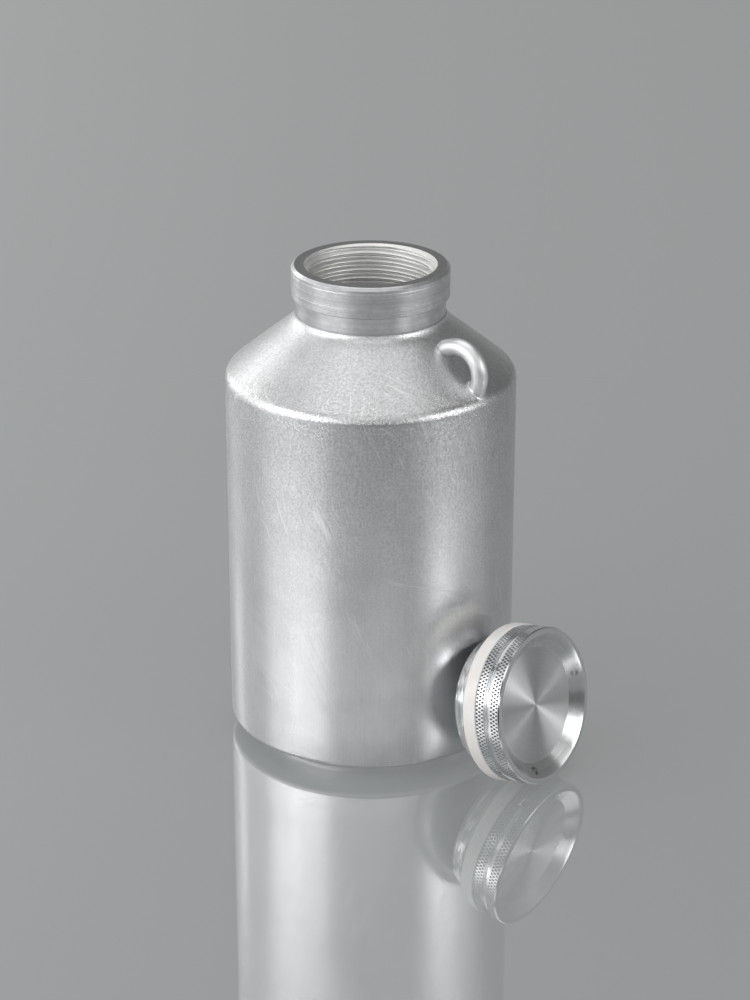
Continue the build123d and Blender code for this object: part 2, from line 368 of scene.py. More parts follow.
def skin_meeting(spot, along):
    """Where a line from a spot goes through the skin, looked for 12 mm to either side of the spot."""
    low, high = -12.0, 12.0
    for _ in range(40):
        mid = (low + high) / 2
        if skin_gap(spot + along * mid)[0] > 0:
            low = mid
        else:
            high = mid
    return spot + along * low


def eye_point(r, z):
    """A point in the eye's own plane, given by radius and height."""
    return EYE_OUT * r + Vector((0, 0, z))


def eye_line():
    """Centre line of the bent bar as (point, direction, radius), from the neck outwards."""
    r0, z0 = EYE_BEND_CENTRE
    line = []
    start = math.pi / 2 + EYE_UPPER_DIP
    sweep = start + EYE_LOWER_DIP
    bend_steps = 28
    for i in range(bend_steps + 1):
        a = start - sweep * i / bend_steps
        point = eye_point(r0 + EYE_BEND_R * math.cos(a), z0 + EYE_BEND_R * math.sin(a))
        line.append((point, eye_point(math.sin(a), -math.cos(a)), EYE_BAR_R))
    point, along, _ = line[0]
    foot = skin_meeting(point, -along)
    sunk = 0.9          # how far the ground end goes into the shoulder
    rounding = 1.9
    end = foot - along * sunk
    head = []
    for i in range(8):
        a = math.pi / 2 * i / 7
        back = rounding * (1 - math.cos(a))
        radius = EYE_BAR_R - rounding + rounding * math.sin(a)
        head.append((end + along * back, along, radius))
    count = int((point - head[-1][0]).length / 1.1)
    for i in range(1, count):
        head.append((head[7][0].lerp(point, i / count), along, EYE_BAR_R))
    point, along, _ = line[-1]
    foot = skin_meeting(point, along)
    tail = [(point.lerp(foot, t), along, EYE_BAR_R) for t in (0.35, 0.7)]
    return head + line + tail


def make_eye_bar():
    """The bent bar: round, its upper end ground over, its lower end let into the shoulder's skin."""
    sides = 48
    bm = bmesh.new()
    rings = []
    line = eye_line()
    for point, along, radius in line:
        across = EYE_SIDE.cross(along).normalized()
        ring = []
        for j in range(sides):
            a = math.tau * j / sides
            ring.append(bm.verts.new(point + (EYE_SIDE * math.cos(a) + across * math.sin(a)) * radius))
        rings.append(ring)
    point, along, radius = line[-1]
    rings.append([bm.verts.new(skin_meeting(v.co, along) + along * 0.5) for v in rings[-1]])
    for low, high in zip(rings, rings[1:]):
        for j in range(sides):
            k = (j + 1) % sides
            bm.faces.new((low[j], low[k], high[k], high[j]))
    bm.faces.new(rings[0])
    bm.faces.new(rings[-1])
    piece = finish_mesh(bm, "seal_eye_bar", sharp=60)
    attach(piece, "bottle")
    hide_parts("seal_eye")
    return piece


def make_eye_weld(name, node, end, bar_r, rise, spread, inner_spread):
    """A smooth fillet from the bar down to the shoulder, all round one end of the bar.

    It runs out further on the side that faces the inside of the eye.
    """
    line = eye_line()
    if end == "upper":
        centre, along, _ = line[9]
        along = -along
    else:
        centre, along, _ = line[-1]
    inside = (eye_point(*EYE_BEND_CENTRE) - centre).normalized()
    across = EYE_SIDE.cross(along).normalized()
    sides, steps = 72, 9
    bm = bmesh.new()
    rings = [[] for _ in range(steps + 3)]
    for j in range(sides):
        a = math.tau * j / sides
        aside = EYE_SIDE * math.cos(a) + across * math.sin(a)
        foot = skin_meeting(centre + aside * bar_r, along)
        _, foot, normal = skin_gap(foot)
        outward = (aside - normal * aside.dot(normal)).normalized()
        # a hand's unevenness, a few hundredths of the bead's size
        wobble = 1 + 0.08 * math.sin(3 * a + 1.0) + 0.05 * math.sin(5 * a)
        facing = max(0.0, aside.dot(inside)) ** 1.5
        reach = (spread + (inner_spread - spread) * facing) * wobble
        top = foot - along * rise * wobble + aside * 0.015
        edge = skin_gap(foot + outward * reach)[1]
        hollow = foot + (outward + normal) * 0.03 * rise
        for i in range(steps + 1):
            t = i / steps
            point = top * (1 - t) ** 2 + hollow * 2 * t * (1 - t) + edge * t**2
            gap, _, under = skin_gap(point)
            if i < steps and gap < 0.02:
                point += under * (0.02 - gap)
            rings[i].append(bm.verts.new(point))
        rings[steps + 1].append(bm.verts.new(edge - normal * 0.35))
        rings[steps + 2].append(bm.verts.new(foot - aside * 0.6 - normal * 0.2))
    for low_ring, high_ring in zip(rings, rings[1:] + rings[:1]):
        for j in range(sides):
            k = (j + 1) % sides
            bm.faces.new((low_ring[j], low_ring[k], high_ring[k], high_ring[j]))
    piece = finish_mesh(bm, name, sharp=60)
    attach(piece, "bottle")
    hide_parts(node)
    return piece


# ---------------------------------------------------------------- cap and gasket

turn_joint = next(j for j in frame["joints"] if j["name"] == "cap_turn")
cap_axis = Vector(turn_joint["axis"]).normalized()
cap_side = Vector((0, 0, 1)).cross(cap_axis).normalized()
CAP_PLACE = Matrix.Translation(Vector(turn_joint["pos_m"])) @ Matrix(
    (cap_side, cap_axis.cross(cap_side), cap_axis)
).transposed().to_4x4()


def make_cap_turning():
    """The cap as it comes off the lathe, plain where the knurls go, with its wire holes drilled."""
    band_r = FLANGE_R - KNURL_DEPTH         # behind the knurls
    land = FLANGE_R - 0.05                  # the narrow plain edges beside them
    groove_r = FLANGE_R - GROOVE_DEPTH
    groove_end = GROOVE_TOP + GROOVE_W
    groove_round = 0.35
    thread_top = -PLUG_NECK_END
    run_out_r = PLUG_ROOT_R - 0.3           # where the thread's bevels end
    floor_steps, cone_steps = 10, 6
    profile = [(0, -DISH_DEPTH)]
    profile += [(DISH_FLOOR_R * i / floor_steps, -DISH_DEPTH) for i in range(1, floor_steps)]
    profile += [(DISH_FLOOR_R, -DISH_DEPTH)]
    for i in range(1, cone_steps):
        t = i / cone_steps
        profile.append((DISH_FLOOR_R + (DISH_R - DISH_FLOOR_R) * t, -DISH_DEPTH * (1 - t)))
    profile += [(DISH_R - 0.05, -0.06), (DISH_R + 0.06, 0)]
    profile += [(FLANGE_R - FLANGE_BEVEL, 0), (land, -FLANGE_BEVEL)]
    profile += [(land, -FLANGE_BEVEL - 0.12), (band_r, -FLANGE_BEVEL - 0.3)]
    profile += [(band_r, -GROOVE_TOP + 0.25), (land, -GROOVE_TOP + 0.12), (land, -GROOVE_TOP)]
    profile += arc((groove_r + groove_round, -GROOVE_TOP - 0.65), groove_round, 90, 180, 4)
    profile += arc((groove_r + groove_round, -groove_end + 0.65), groove_round, 180, 270, 4)
    profile += [(land, -groove_end), (land, -groove_end - 0.12), (band_r, -groove_end - 0.25)]
    profile += [(band_r, -FLANGE_T + 0.3), (land, -FLANGE_T + 0.2)]
    profile += [(FLANGE_R - 0.3, -FLANGE_T), (PLUG_NECK_R, -FLANGE_T), (PLUG_NECK_R - 0.3, thread_top)]
    thread_z = thread_top - 0.01
    profile.append((run_out_r + 0.01, thread_z))
    tip_z = -PLUG_END + 0.02
    tail = [(run_out_r, tip_z), (PLUG_ROOT_R - 0.8, -PLUG_END), (0, -PLUG_END)]

    def trim(z):
        return min(run_out_r + (thread_top - z), run_out_r + (z - tip_z))

    bm = bmesh.new()
    lathe(bm, profile, closed=False)
    lathe(bm, tail, closed=False)
    thread(bm, tip_z, thread_z, PLUG_R, PLUG_ROOT_R, trim, min)
    piece = finish_mesh(bm, "cap_turning", CAP_PLACE)
    drill_wire_holes(piece)
    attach(piece, "cap")
    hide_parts("screw_cap")
    return piece


def drill_wire_holes(piece):
    """Three slanted holes from the dish's cone out into the groove."""
    bm = bmesh.new()
    for i in range(3):
        a = WIRE_HOLE_BEARING + math.tau * i / 3
        ray = Vector((math.cos(a), math.sin(a), 0))
        drill = ray * math.cos(WIRE_HOLE_SLANT) - Vector((0, 0, math.sin(WIRE_HOLE_SLANT)))
        mouth = ray * (DISH_R + DISH_FLOOR_R) / 2 - Vector((0, 0, DISH_DEPTH / 2))
        centre = mouth + drill * 1.5        # the drill reaches past the dish and into the groove
        turn = drill.to_track_quat("Z", "Y").to_matrix().to_4x4()
        bmesh.ops.create_cone(
            bm,
            cap_ends=True,
            segments=48,
            radius1=WIRE_HOLE_R,
            radius2=WIRE_HOLE_R,
            depth=9.0,
            matrix=Matrix.Translation(centre) @ turn,
        )
    mesh = bpy.data.meshes.new("wire_hole_drills")
    bm.to_mesh(mesh)
    bm.free()
    mesh.transform(Matrix.Scale(MM, 4))
    mesh.transform(CAP_PLACE)
    drills = bpy.data.objects.new("wire_hole_drills", mesh)
    bpy.context.collection.objects.link(drills)
    cut = piece.modifiers.new("drill", "BOOLEAN")
    cut.operation = "DIFFERENCE"
    cut.solver = "EXACT"
    cut.object = drills
    now = bpy.context.evaluated_depsgraph_get()
    drilled = bpy.data.meshes.new_from_object(piece.evaluated_get(now))
    piece.modifiers.clear()
    piece.data = drilled
    bpy.data.objects.remove(drills)
    drilled.set_sharp_from_angle(angle=math.radians(24))


def assign_zones(piece, place, zone):
    """Gives each face the material that zone(radius, height, upward tilt) numbers, measured in place."""
    back = place.inverted()
    for face in piece.data.polygons:
        middle = back @ face.center / MM
        tilt = (back.to_3x3() @ face.normal).z
        face.material_index = zone(math.hypot(middle.x, middle.y), middle.z, tilt)


def neck_zone(r, z, tilt):
    """The collar's side is 0, its faced rim 1, its threaded bore 2."""
    if r < MOUTH_R + 0.2 and z < RIM_Z - 0.1:
        return 2
    return 1 if tilt > 0.95 else 0


def cap_zone(r, z, tilt):
    """The dish's flat floor is 1, all the rest of the cap 0."""
    return 1 if abs(z + DISH_DEPTH) < 0.02 and r < DISH_FLOOR_R else 0


def knurl_tree():
    """Geometry Nodes: a cylinder about Z tiled with diamond cells, each sunk to a four-sided pit."""
    tree = bpy.data.node_groups.new("diamond_knurl", "GeometryNodeTree")
    for name, kind in (
        ("Radius", "NodeSocketFloat"),
        ("First row", "NodeSocketFloat"),
        ("Row step", "NodeSocketFloat"),
        ("Depth", "NodeSocketFloat"),
        ("Pit share", "NodeSocketFloat"),
        ("Cells round", "NodeSocketInt"),
        ("Rows", "NodeSocketInt"),
        ("Metal", "NodeSocketMaterial"),
        ("Pit painted shade", "NodeSocketMaterial"),
    ):
        tree.interface.new_socket(name, in_out="INPUT", socket_type=kind)
    tree.interface.new_socket("Geometry", in_out="OUTPUT", socket_type="NodeSocketGeometry")
    given = add_node(tree, "NodeGroupInput").outputs
    round_count, row_step, radius = given["Cells round"], given["Row step"], given["Radius"]

    # every other row stands half a cell further round
    total = joined(tree, "ShaderNodeMath", round_count, given["Rows"], operation="MULTIPLY")
    index = joined(tree, "GeometryNodeInputIndex")
    rows_done = joined(tree, "ShaderNodeMath", index, round_count, operation="DIVIDE")
    row = joined(tree, "ShaderNodeMath", rows_done, operation="FLOOR")
    odd = joined(tree, "ShaderNodeMath", row, 2.0, operation="MODULO")
    stagger = joined(tree, "ShaderNodeMath", odd, 0.5, operation="MULTIPLY")
    step = joined(tree, "ShaderNodeMath", index, stagger, operation="ADD")
    turns = joined(tree, "ShaderNodeMath", step, round_count, operation="DIVIDE")
    angle = joined(tree, "ShaderNodeMath", turns, math.tau, operation="MULTIPLY")
    climb = joined(tree, "ShaderNodeMath", row, row_step, operation="MULTIPLY")
    z = joined(tree, "ShaderNodeMath", given["First row"], climb, operation="ADD")
    cosine = joined(tree, "ShaderNodeMath", angle, operation="COSINE")
    sine = joined(tree, "ShaderNodeMath", angle, operation="SINE")
    x = joined(tree, "ShaderNodeMath", cosine, radius, operation="MULTIPLY")
    y = joined(tree, "ShaderNodeMath", sine, radius, operation="MULTIPLY")
    place = joined(tree, "ShaderNodeCombineXYZ", x, y, z)
    points = add_node(tree, "GeometryNodePoints", {}, {"Count": total, "Position": place}).outputs[0]

    # one cell: a square on its corner, its face sunk to a narrow bottom inside a rim of land
    square = {"Vertices": 4, "Radius": 1.0}
    cell = add_node(tree, "GeometryNodeMeshCircle", {"fill_type": "NGON"}, square).outputs[0]
    inner = add_node(tree, "GeometryNodeExtrudeMesh", {}, {"Mesh": cell, "Offset Scale": 0.0}).outputs
    land = {"Geometry": inner["Mesh"], "Selection": inner["Top"], "Scale": given["Pit share"]}
    inset = add_node(tree, "GeometryNodeScaleElements", {}, land).outputs[0]
    sink = joined(tree, "ShaderNodeMath", given["Depth"], -1.0, operation="MULTIPLY")
    hollow = {"Mesh": inset, "Selection": inner["Top"], "Offset Scale": sink}
    sunk = add_node(tree, "GeometryNodeExtrudeMesh", {}, hollow).outputs
    bottom = {"Geometry": sunk["Mesh"], "Selection": sunk["Top"], "Scale": KNURL_BOTTOM_SHARE}
    pit = add_node(tree, "GeometryNodeScaleElements", {}, bottom).outputs[0]
    is_pit = joined(tree, "FunctionNodeBooleanMath", sunk["Top"], sunk["Side"], operation="OR")
    mark = {"Geometry": pit, "Name": "pit", "Value": is_pit}
    on_faces = {"data_type": "BOOLEAN", "domain": "FACE"}
    marked = add_node(tree, "GeometryNodeStoreNamedAttribute", on_faces, mark).outputs[0]

    # the cells meet corner to corner, so half a cell's width is the tangent of half its angle
    half_angle = joined(tree, "ShaderNodeMath", math.pi, round_count, operation="DIVIDE")
    half_width = joined(tree, "ShaderNodeMath", half_angle, operation="TANGENT")
    half_cell = joined(tree, "ShaderNodeMath", half_width, radius, operation="MULTIPLY")
    size = joined(tree, "ShaderNodeCombineXYZ", row_step, half_cell, 1.0)
    tile = add_node(tree, "GeometryNodeTransform", {}, {"Geometry": marked, "Scale": size}).outputs[0]
    lean = add_node(tree, "ShaderNodeCombineXYZ", {}, {1: math.pi / 2, 2: angle}).outputs[0]
    laid = {"Points": points, "Instance": tile, "Rotation": lean}
    spread = add_node(tree, "GeometryNodeInstanceOnPoints", {}, laid).outputs[0]
    whole = joined(tree, "GeometryNodeRealizeInstances", spread)
    kept_mark = add_node(tree, "GeometryNodeInputNamedAttribute", {"data_type": "BOOLEAN"}, {"Name": "pit"})
    in_pit = kept_mark.outputs["Attribute"]
    metal = {"Geometry": whole, "Material": given["Metal"]}
    dressed = add_node(tree, "GeometryNodeSetMaterial", {}, metal).outputs[0]
    # the pits take a darker material: painted shade in the knurl's hollows
    pit_painted_shade = {"Geometry": dressed, "Selection": in_pit, "Material": given["Pit painted shade"]}
    dressed = add_node(tree, "GeometryNodeSetMaterial", {}, pit_painted_shade).outputs[0]
    add_node(tree, "NodeGroupOutput", {}, {0: dressed})
    return tree


def make_knurl(tree, name, low, high, metal, pit_painted_shade):
    """One knurled band: the tree's tiles, joined, trimmed at both edges and closed behind as a ring."""
    rows = 2 * math.ceil((high - low) / 2 / KNURL_ROW) + 3
    mesh = bpy.data.meshes.new(name)
    piece = bpy.data.objects.new(name, mesh)
    bpy.context.collection.objects.link(piece)
    step = piece.modifiers.new("knurl", "NODES")
    step.node_group = tree
    values = {
        "Radius": FLANGE_R - 0.01,
        "First row": (low + high) / 2 - KNURL_ROW * (rows - 1) / 2,
        "Row step": KNURL_ROW,
        "Depth": KNURL_DEPTH,
        "Pit share": KNURL_PIT_SHARE,
        "Cells round": round(math.tau * FLANGE_R / KNURL_PITCH),
        "Rows": rows,
        "Metal": metal,
        "Pit painted shade": pit_painted_shade,
    }
    for item in tree.interface.items_tree:
        if item.in_out == "INPUT":
            step[item.identifier] = values[item.name]
    now = bpy.context.evaluated_depsgraph_get()
    made = bpy.data.meshes.new_from_object(piece.evaluated_get(now))
    piece.modifiers.clear()
    bm = bmesh.new()
    bm.from_mesh(made)
    bmesh.ops.remove_doubles(bm, verts=bm.verts, dist=0.02)
    for place, outward in ((low, -1), (high, 1)):
        parts = bm.verts[:] + bm.edges[:] + bm.faces[:]
        edge, away = (0, 0, place), (0, 0, outward)
        bmesh.ops.bisect_plane(bm, geom=parts, plane_co=edge, plane_no=away, clear_outer=True)
    bmesh.ops.remove_doubles(bm, verts=bm.verts, dist=0.002)
    # both edges go in behind the pits and meet there, which closes the ring
    behind = bmesh.ops.extrude_edge_only(bm, edges=[e for e in bm.edges if e.is_boundary])["geom"]
    for v in (part for part in behind if isinstance(part, bmesh.types.BMVert)):
        v.co.xy *= (FLANGE_R - KNURL_DEPTH - 0.3) / v.co.xy.length
    bmesh.ops.bridge_loops(bm, edges=[e for e in bm.edges if e.is_boundary])
    bmesh.ops.recalc_face_normals(bm, faces=bm.faces)
    if bm.calc_volume(signed=True) < 0:
        bmesh.ops.reverse_faces(bm, faces=bm.faces)
    bm.to_mesh(made)
    bm.free()
    piece.data = made
    made.transform(Matrix.Scale(MM, 4))
    made.transform(CAP_PLACE)
    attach(piece, "cap")
    return piece


def make_gasket_ring():
    """The captive sealing ring: sharp in front, rounded behind, let into the undercut of the plug."""
    profile = [(GASKET_BORE_R, -GASKET_END + 0.3), (GASKET_BORE_R, -GASKET_TOP)]
    profile += arc((GASKET_R - 0.4, -GASKET_TOP - 0.4), 0.4, 90, 0, 5)
    profile += arc((GASKET_R - GASKET_ROUND, -GASKET_END + GASKET_ROUND), GASKET_ROUND, 0, -90, 10)
    profile += [(GASKET_R - 3.0, -GASKET_END), (GASKET_BORE_R + 0.3, -GASKET_END)]
    bm = bmesh.new()
    lathe(bm, profile)
    piece = finish_mesh(bm, "gasket_ring", CAP_PLACE, sharp=35)
    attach(piece, "gasket")
    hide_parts("gasket")
    return piece


# ---------------------------------------------------------------- materials

def linear(hex_colour):
    """An sRGB hex colour as linear RGBA."""
    channels = [int(hex_colour[i : i + 2], 16) / 255 for i in (1, 3, 5)]
    return (*[c / 12.92 if c <= 0.04045 else ((c + 0.055) / 1.055) ** 2.4 for c in channels], 1.0)


def new_material(name, base, roughness, metallic=1.0):
    material = bpy.data.materials.new(name)
    material.use_nodes = True
    shader = material.node_tree.nodes["Principled BSDF"]
    shader.inputs["Metallic"].default_value = metallic
    shader.inputs["Base Color"].default_value = linear(base)
    shader.inputs["Roughness"].default_value = roughness
    return material, material.node_tree, shader


def etched_drawn_aluminium():
    """Sheet aluminium, drawn lengthwise, spun to a cone and etched. It gives a soft satin with fine
    streaks down the wall and up the cone, a leathery grain that is strongest round the shoulder's bend,
    and some long handling scratches."""
    material, tree, shader = new_material("etched_drawn_aluminium", "#DCDDDE", 0.3)
    place = add_node(tree, "ShaderNodeTexCoord").outputs["Object"]
    z = add_node(tree, "ShaderNodeSeparateXYZ", {}, {0: place}).outputs[2]

    # the streaks' own space: way round the wall, and the height shrunk so that they run long
    flat = joined(tree, "ShaderNodeVectorMath", place, (1.0, 1.0, 0.0), operation="MULTIPLY")
    bearing = joined(tree, "ShaderNodeVectorMath", flat, operation="NORMALIZE")
    wall = (BODY_R * MM, BODY_R * MM, 0.0)
    round_wall = joined(tree, "ShaderNodeVectorMath", bearing, wall, operation="MULTIPLY")
    shrunk_z = joined(tree, "ShaderNodeMath", z, 0.035, operation="MULTIPLY")
    rise = add_node(tree, "ShaderNodeCombineXYZ", {}, {2: shrunk_z}).outputs[0]
    drawn = joined(tree, "ShaderNodeVectorMath", round_wall, rise, operation="ADD")

    # draw lines are about 0.1 mm wide and the etched grain about 0.3 mm, too fine to show: both coarser
    streak_look = {"Vector": drawn, "Scale": per_metre(0.4545), "Detail": 3.0, "Roughness": 0.6}
    streaks = add_node(tree, "ShaderNodeTexNoise", {}, streak_look).outputs[0]
    grain_look = {"Vector": place, "Scale": per_metre(0.769), "Detail": 3.0, "Roughness": 0.7}
    grain = add_node(tree, "ShaderNodeTexNoise", {}, grain_look).outputs[0]
    # broad, faint bands 9 mm wide from the drawing die, and handling marks 17 mm across
    band_look = {"Vector": drawn, "Scale": per_metre(9.09), "Detail": 2.0, "Roughness": 0.5}
    bands = add_node(tree, "ShaderNodeTexNoise", {}, band_look).outputs[0]
    blotch_look = {"Vector": place, "Scale": per_metre(16.67), "Detail": 3.0, "Roughness": 0.6}
    blotch = add_node(tree, "ShaderNodeTexNoise", {}, blotch_look).outputs[0]

    # the grain opens up where the sheet was stretched over the shoulder's bend
    off_grain = joined(tree, "ShaderNodeMath", z, GRAIN_PEAK_Z * MM, operation="SUBTRACT")
    off_grain = joined(tree, "ShaderNodeMath", off_grain, operation="ABSOLUTE")
    near_bend = joined(tree, "ShaderNodeMapRange", off_grain, 0.0, 0.09, 1.0, 0.12)
    open_grain = joined(tree, "ShaderNodeMapRange", grain, 0.36, 0.66, 0.0, 1.0)
    mottle = joined(tree, "ShaderNodeMath", open_grain, near_bend, operation="MULTIPLY")
    # the bend itself was burnished by the spinning roller, over some 10 mm
    off_bend = joined(tree, "ShaderNodeMath", z, BURNISH_Z * MM, operation="SUBTRACT")
    off_bend = joined(tree, "ShaderNodeMath", off_bend, operation="ABSOLUTE")
    burnished = joined(tree, "ShaderNodeMapRange", off_bend, 0.003, 0.010, 1.0, 0.0)

    # scratches: thin contours of a stretched pattern, in patches, leaning three ways
    scratch = None
    for turn, shift in ((0.5, 0.0), (-0.7, 1.3), (1.2, 2.9)):
        lean = {0: place, "Location": (shift, 0.2, 0.1), "Rotation": (turn, 0.3 * turn, turn)}
        leaned = add_node(tree, "ShaderNodeMapping", {}, lean).outputs[0]
        long_way = joined(tree, "ShaderNodeVectorMath", leaned, (1.0, 0.03, 0.03), operation="MULTIPLY")
        wander_look = {"Vector": long_way, "Scale": per_metre(2.38), "Detail": 1.0, "Roughness": 0.5}
        wander = add_node(tree, "ShaderNodeTexNoise", {}, wander_look).outputs[0]
        off_line = joined(tree, "ShaderNodeMath", wander, 0.5, operation="SUBTRACT")
        off_line = joined(tree, "ShaderNodeMath", off_line, operation="ABSOLUTE")
        line = joined(tree, "ShaderNodeMapRange", off_line, 0.0, 0.010, 1.0, 0.0)
        patch_look = {"Vector": leaned, "Scale": per_metre(26.3), "Detail": 1.0, "Roughness": 0.5}
        patch = add_node(tree, "ShaderNodeTexNoise", {}, patch_look).outputs[0]
        patch = joined(tree, "ShaderNodeMapRange", patch, 0.56, 0.64, 0.0, 1.0)
        line = joined(tree, "ShaderNodeMath", line, patch, operation="MULTIPLY")
        if scratch is None:
            scratch = line
        else:
            scratch = joined(tree, "ShaderNodeMath", scratch, line, operation="MAXIMUM")

    streak_share = joined(tree, "ShaderNodeMapRange", streaks, 0.3, 0.7, 0.0, 1.0)
    tones = {0: streak_share, 6: linear("#E2E3E4"), 7: linear("#ECEDEE")}
    colour = add_node(tree, "ShaderNodeMix", COLOUR_MIX, tones).outputs[2]
    grain_share = joined(tree, "ShaderNodeMath", mottle, 0.52, operation="MULTIPLY")
    tones = {0: grain_share, 6: colour, 7: linear("#86878A")}
    colour = add_node(tree, "ShaderNodeMix", COLOUR_MIX, tones).outputs[2]
    blotch_share = joined(tree, "ShaderNodeMapRange", blotch, 0.45, 0.75, 0.0, 0.28)
    tones = {0: blotch_share, 6: colour, 7: linear("#B2B3B3")}
    colour = add_node(tree, "ShaderNodeMix", COLOUR_MIX, tones).outputs[2]
    scratch_share = joined(tree, "ShaderNodeMath", scratch, 0.75, operation="MULTIPLY")
    tones = {0: scratch_share, 6: colour, 7: linear("#F4F4F4")}
    colour = add_node(tree, "ShaderNodeMix", COLOUR_MIX, tones).outputs[2]
    tree.links.new(colour, shader.inputs["Base Color"])

    rough = joined(tree, "ShaderNodeMapRange", bands, 0.3, 0.7, 0.28, 0.33)
    from_grain = joined(tree, "ShaderNodeMath", mottle, 0.08, operation="MULTIPLY")
    rough = joined(tree, "ShaderNodeMath", rough, from_grain, operation="ADD")
    from_roller = joined(tree, "ShaderNodeMath", burnished, 0.05, operation="MULTIPLY")
    rough = joined(tree, "ShaderNodeMath", rough, from_roller, operation="SUBTRACT")
    from_streaks = joined(tree, "ShaderNodeMapRange", streaks, 0.3, 0.7, -1.0, 1.0)
    from_streaks = joined(tree, "ShaderNodeMath", from_streaks, 0.02, operation="MULTIPLY")
    rough = joined(tree, "ShaderNodeMath", rough, from_streaks, operation="ADD")
    tree.links.new(rough, shader.inputs["Roughness"])

    streak_depth = joined(tree, "ShaderNodeMapRange", near_bend, 0.0, 1.0, 0.05, 0.2)
    streak_height = joined(tree, "ShaderNodeMath", streaks, streak_depth, operation="MULTIPLY")
    grain_depth = joined(tree, "ShaderNodeMath", near_bend, 2.8, operation="MULTIPLY")
    grain_height = joined(tree, "ShaderNodeMath", grain, grain_depth, operation="MULTIPLY")
    height = joined(tree, "ShaderNodeMath", streak_height, grain_height, operation="ADD")
    scratch_depth = joined(tree, "ShaderNodeMath", scratch, 0.35, operation="MULTIPLY")
    height = joined(tree, "ShaderNodeMath", height, scratch_depth, operation="SUBTRACT")
    relief = {"Height": height, "Strength": 1.0, "Distance": 0.05 * MM}
    relief = add_node(tree, "ShaderNodeBump", {}, relief).outputs[0]
    tree.links.new(relief, shader.inputs["Normal"])
    return material


def turned_surface(name, dark, light, rough_low, rough_high, groove_mm, line_mm, smear, worn=0.0):
    """Metal straight off the lathe: fine rings from the tool's feed, which smear reflections across them.

    The fine rings' broadest lines are about 1.25 line_mm wide on a face and 3.2 on a side, with finer
    ones in them. The broad rings are ten times as wide.
    """
    material, tree, shader = new_material(name, light, rough_low)
    shader.inputs["Anisotropic"].default_value = smear
    shader.inputs["Anisotropic Rotation"].default_value = 0.25
    along_rings = add_node(tree, "ShaderNodeTangent", {"direction_type": "UV_MAP", "uv_map": "turning"})
    tree.links.new(along_rings.outputs[0], shader.inputs["Tangent"])
    turning = joined(tree, "ShaderNodeUVMap", uv_map="turning")
    across = add_node(tree, "ShaderNodeSeparateXYZ", {}, {0: turning}).outputs[1]
    # the turning map's v grows by 0.008 for each millimetre of radius and 0.0031 of height
    one_way = {"noise_dimensions": "1D"}
    ring_look = {"W": across, "Scale": 10.0 / line_mm, "Detail": 4.0, "Roughness": 0.75}
    rings = add_node(tree, "ShaderNodeTexNoise", one_way, ring_look).outputs[0]
    fine_look = {"W": across, "Scale": 100.0 / line_mm, "Detail": 2.0, "Roughness": 0.6}
    fine = add_node(tree, "ShaderNodeTexNoise", one_way, fine_look).outputs[0]
    place = add_node(tree, "ShaderNodeTexCoord").outputs["Object"]
    wear_look = {"Vector": place, "Scale": per_metre(2.38), "Detail": 4.0, "Roughness": 0.75}
    wear = add_node(tree, "ShaderNodeTexNoise", {}, wear_look).outputs[0]
    both = joined(tree, "ShaderNodeMath", rings, fine, operation="ADD")
    ring_share = joined(tree, "ShaderNodeMapRange", both, 0.7, 1.3, 0.0, 1.0)
    tones = {0: ring_share, 6: linear(dark), 7: linear(light)}
    colour = add_node(tree, "ShaderNodeMix", COLOUR_MIX, tones).outputs[2]
    wear_share = joined(tree, "ShaderNodeMapRange", wear, 0.4, 0.7, 0.0, 0.3 + 0.6 * worn)
    tones = {0: wear_share, 6: colour, 7: linear(dark)}
    colour = add_node(tree, "ShaderNodeMix", COLOUR_MIX, tones).outputs[2]
    tree.links.new(colour, shader.inputs["Base Color"])
    rough = joined(tree, "ShaderNodeMapRange", both, 0.7, 1.3, rough_high, rough_low)
    tree.links.new(rough, shader.inputs["Roughness"])
    dents = joined(tree, "ShaderNodeMath", wear, 6.0 * worn, operation="MULTIPLY")
    height = joined(tree, "ShaderNodeMath", both, dents, operation="ADD")
    relief = {"Height": height, "Strength": 1.0, "Distance": groove_mm * MM}
    relief = add_node(tree, "ShaderNodeBump", {}, relief).outputs[0]
    tree.links.new(relief, shader.inputs["Normal"])
    return material


def plain_satin(name, dark, light, roughness, grain_mm, depth_mm):
    """Metal without a direction: an even satin with a very fine, soft grain and cloudy gloss.

    grain_mm is the size of the broadest grains, which have finer ones in them.
    """
    material, tree, shader = new_material(name, light, roughness)
    place = add_node(tree, "ShaderNodeTexCoord").outputs["Object"]
    grain_look = {"Vector": place, "Scale": per_metre(grain_mm), "Detail": 3.0, "Roughness": 0.6}
    grain = add_node(tree, "ShaderNodeTexNoise", {}, grain_look).outputs[0]
    blotch_look = {"Vector": place, "Scale": per_metre(5.56), "Detail": 2.0, "Roughness": 0.5}
    blotch = add_node(tree, "ShaderNodeTexNoise", {}, blotch_look).outputs[0]
    grain_share = joined(tree, "ShaderNodeMapRange", grain, 0.3, 0.7, 0.0, 1.0)
    tones = {0: grain_share, 6: linear(dark), 7: linear(light)}
    colour = add_node(tree, "ShaderNodeMix", COLOUR_MIX, tones).outputs[2]
    tree.links.new(colour, shader.inputs["Base Color"])
    rough = joined(tree, "ShaderNodeMapRange", blotch, 0.3, 0.7, roughness - 0.05, roughness + 0.06)
    tree.links.new(rough, shader.inputs["Roughness"])
    relief = {"Height": grain, "Strength": 1.0, "Distance": depth_mm * MM}
    relief = add_node(tree, "ShaderNodeBump", {}, relief).outputs[0]
    tree.links.new(relief, shader.inputs["Normal"])
    return material


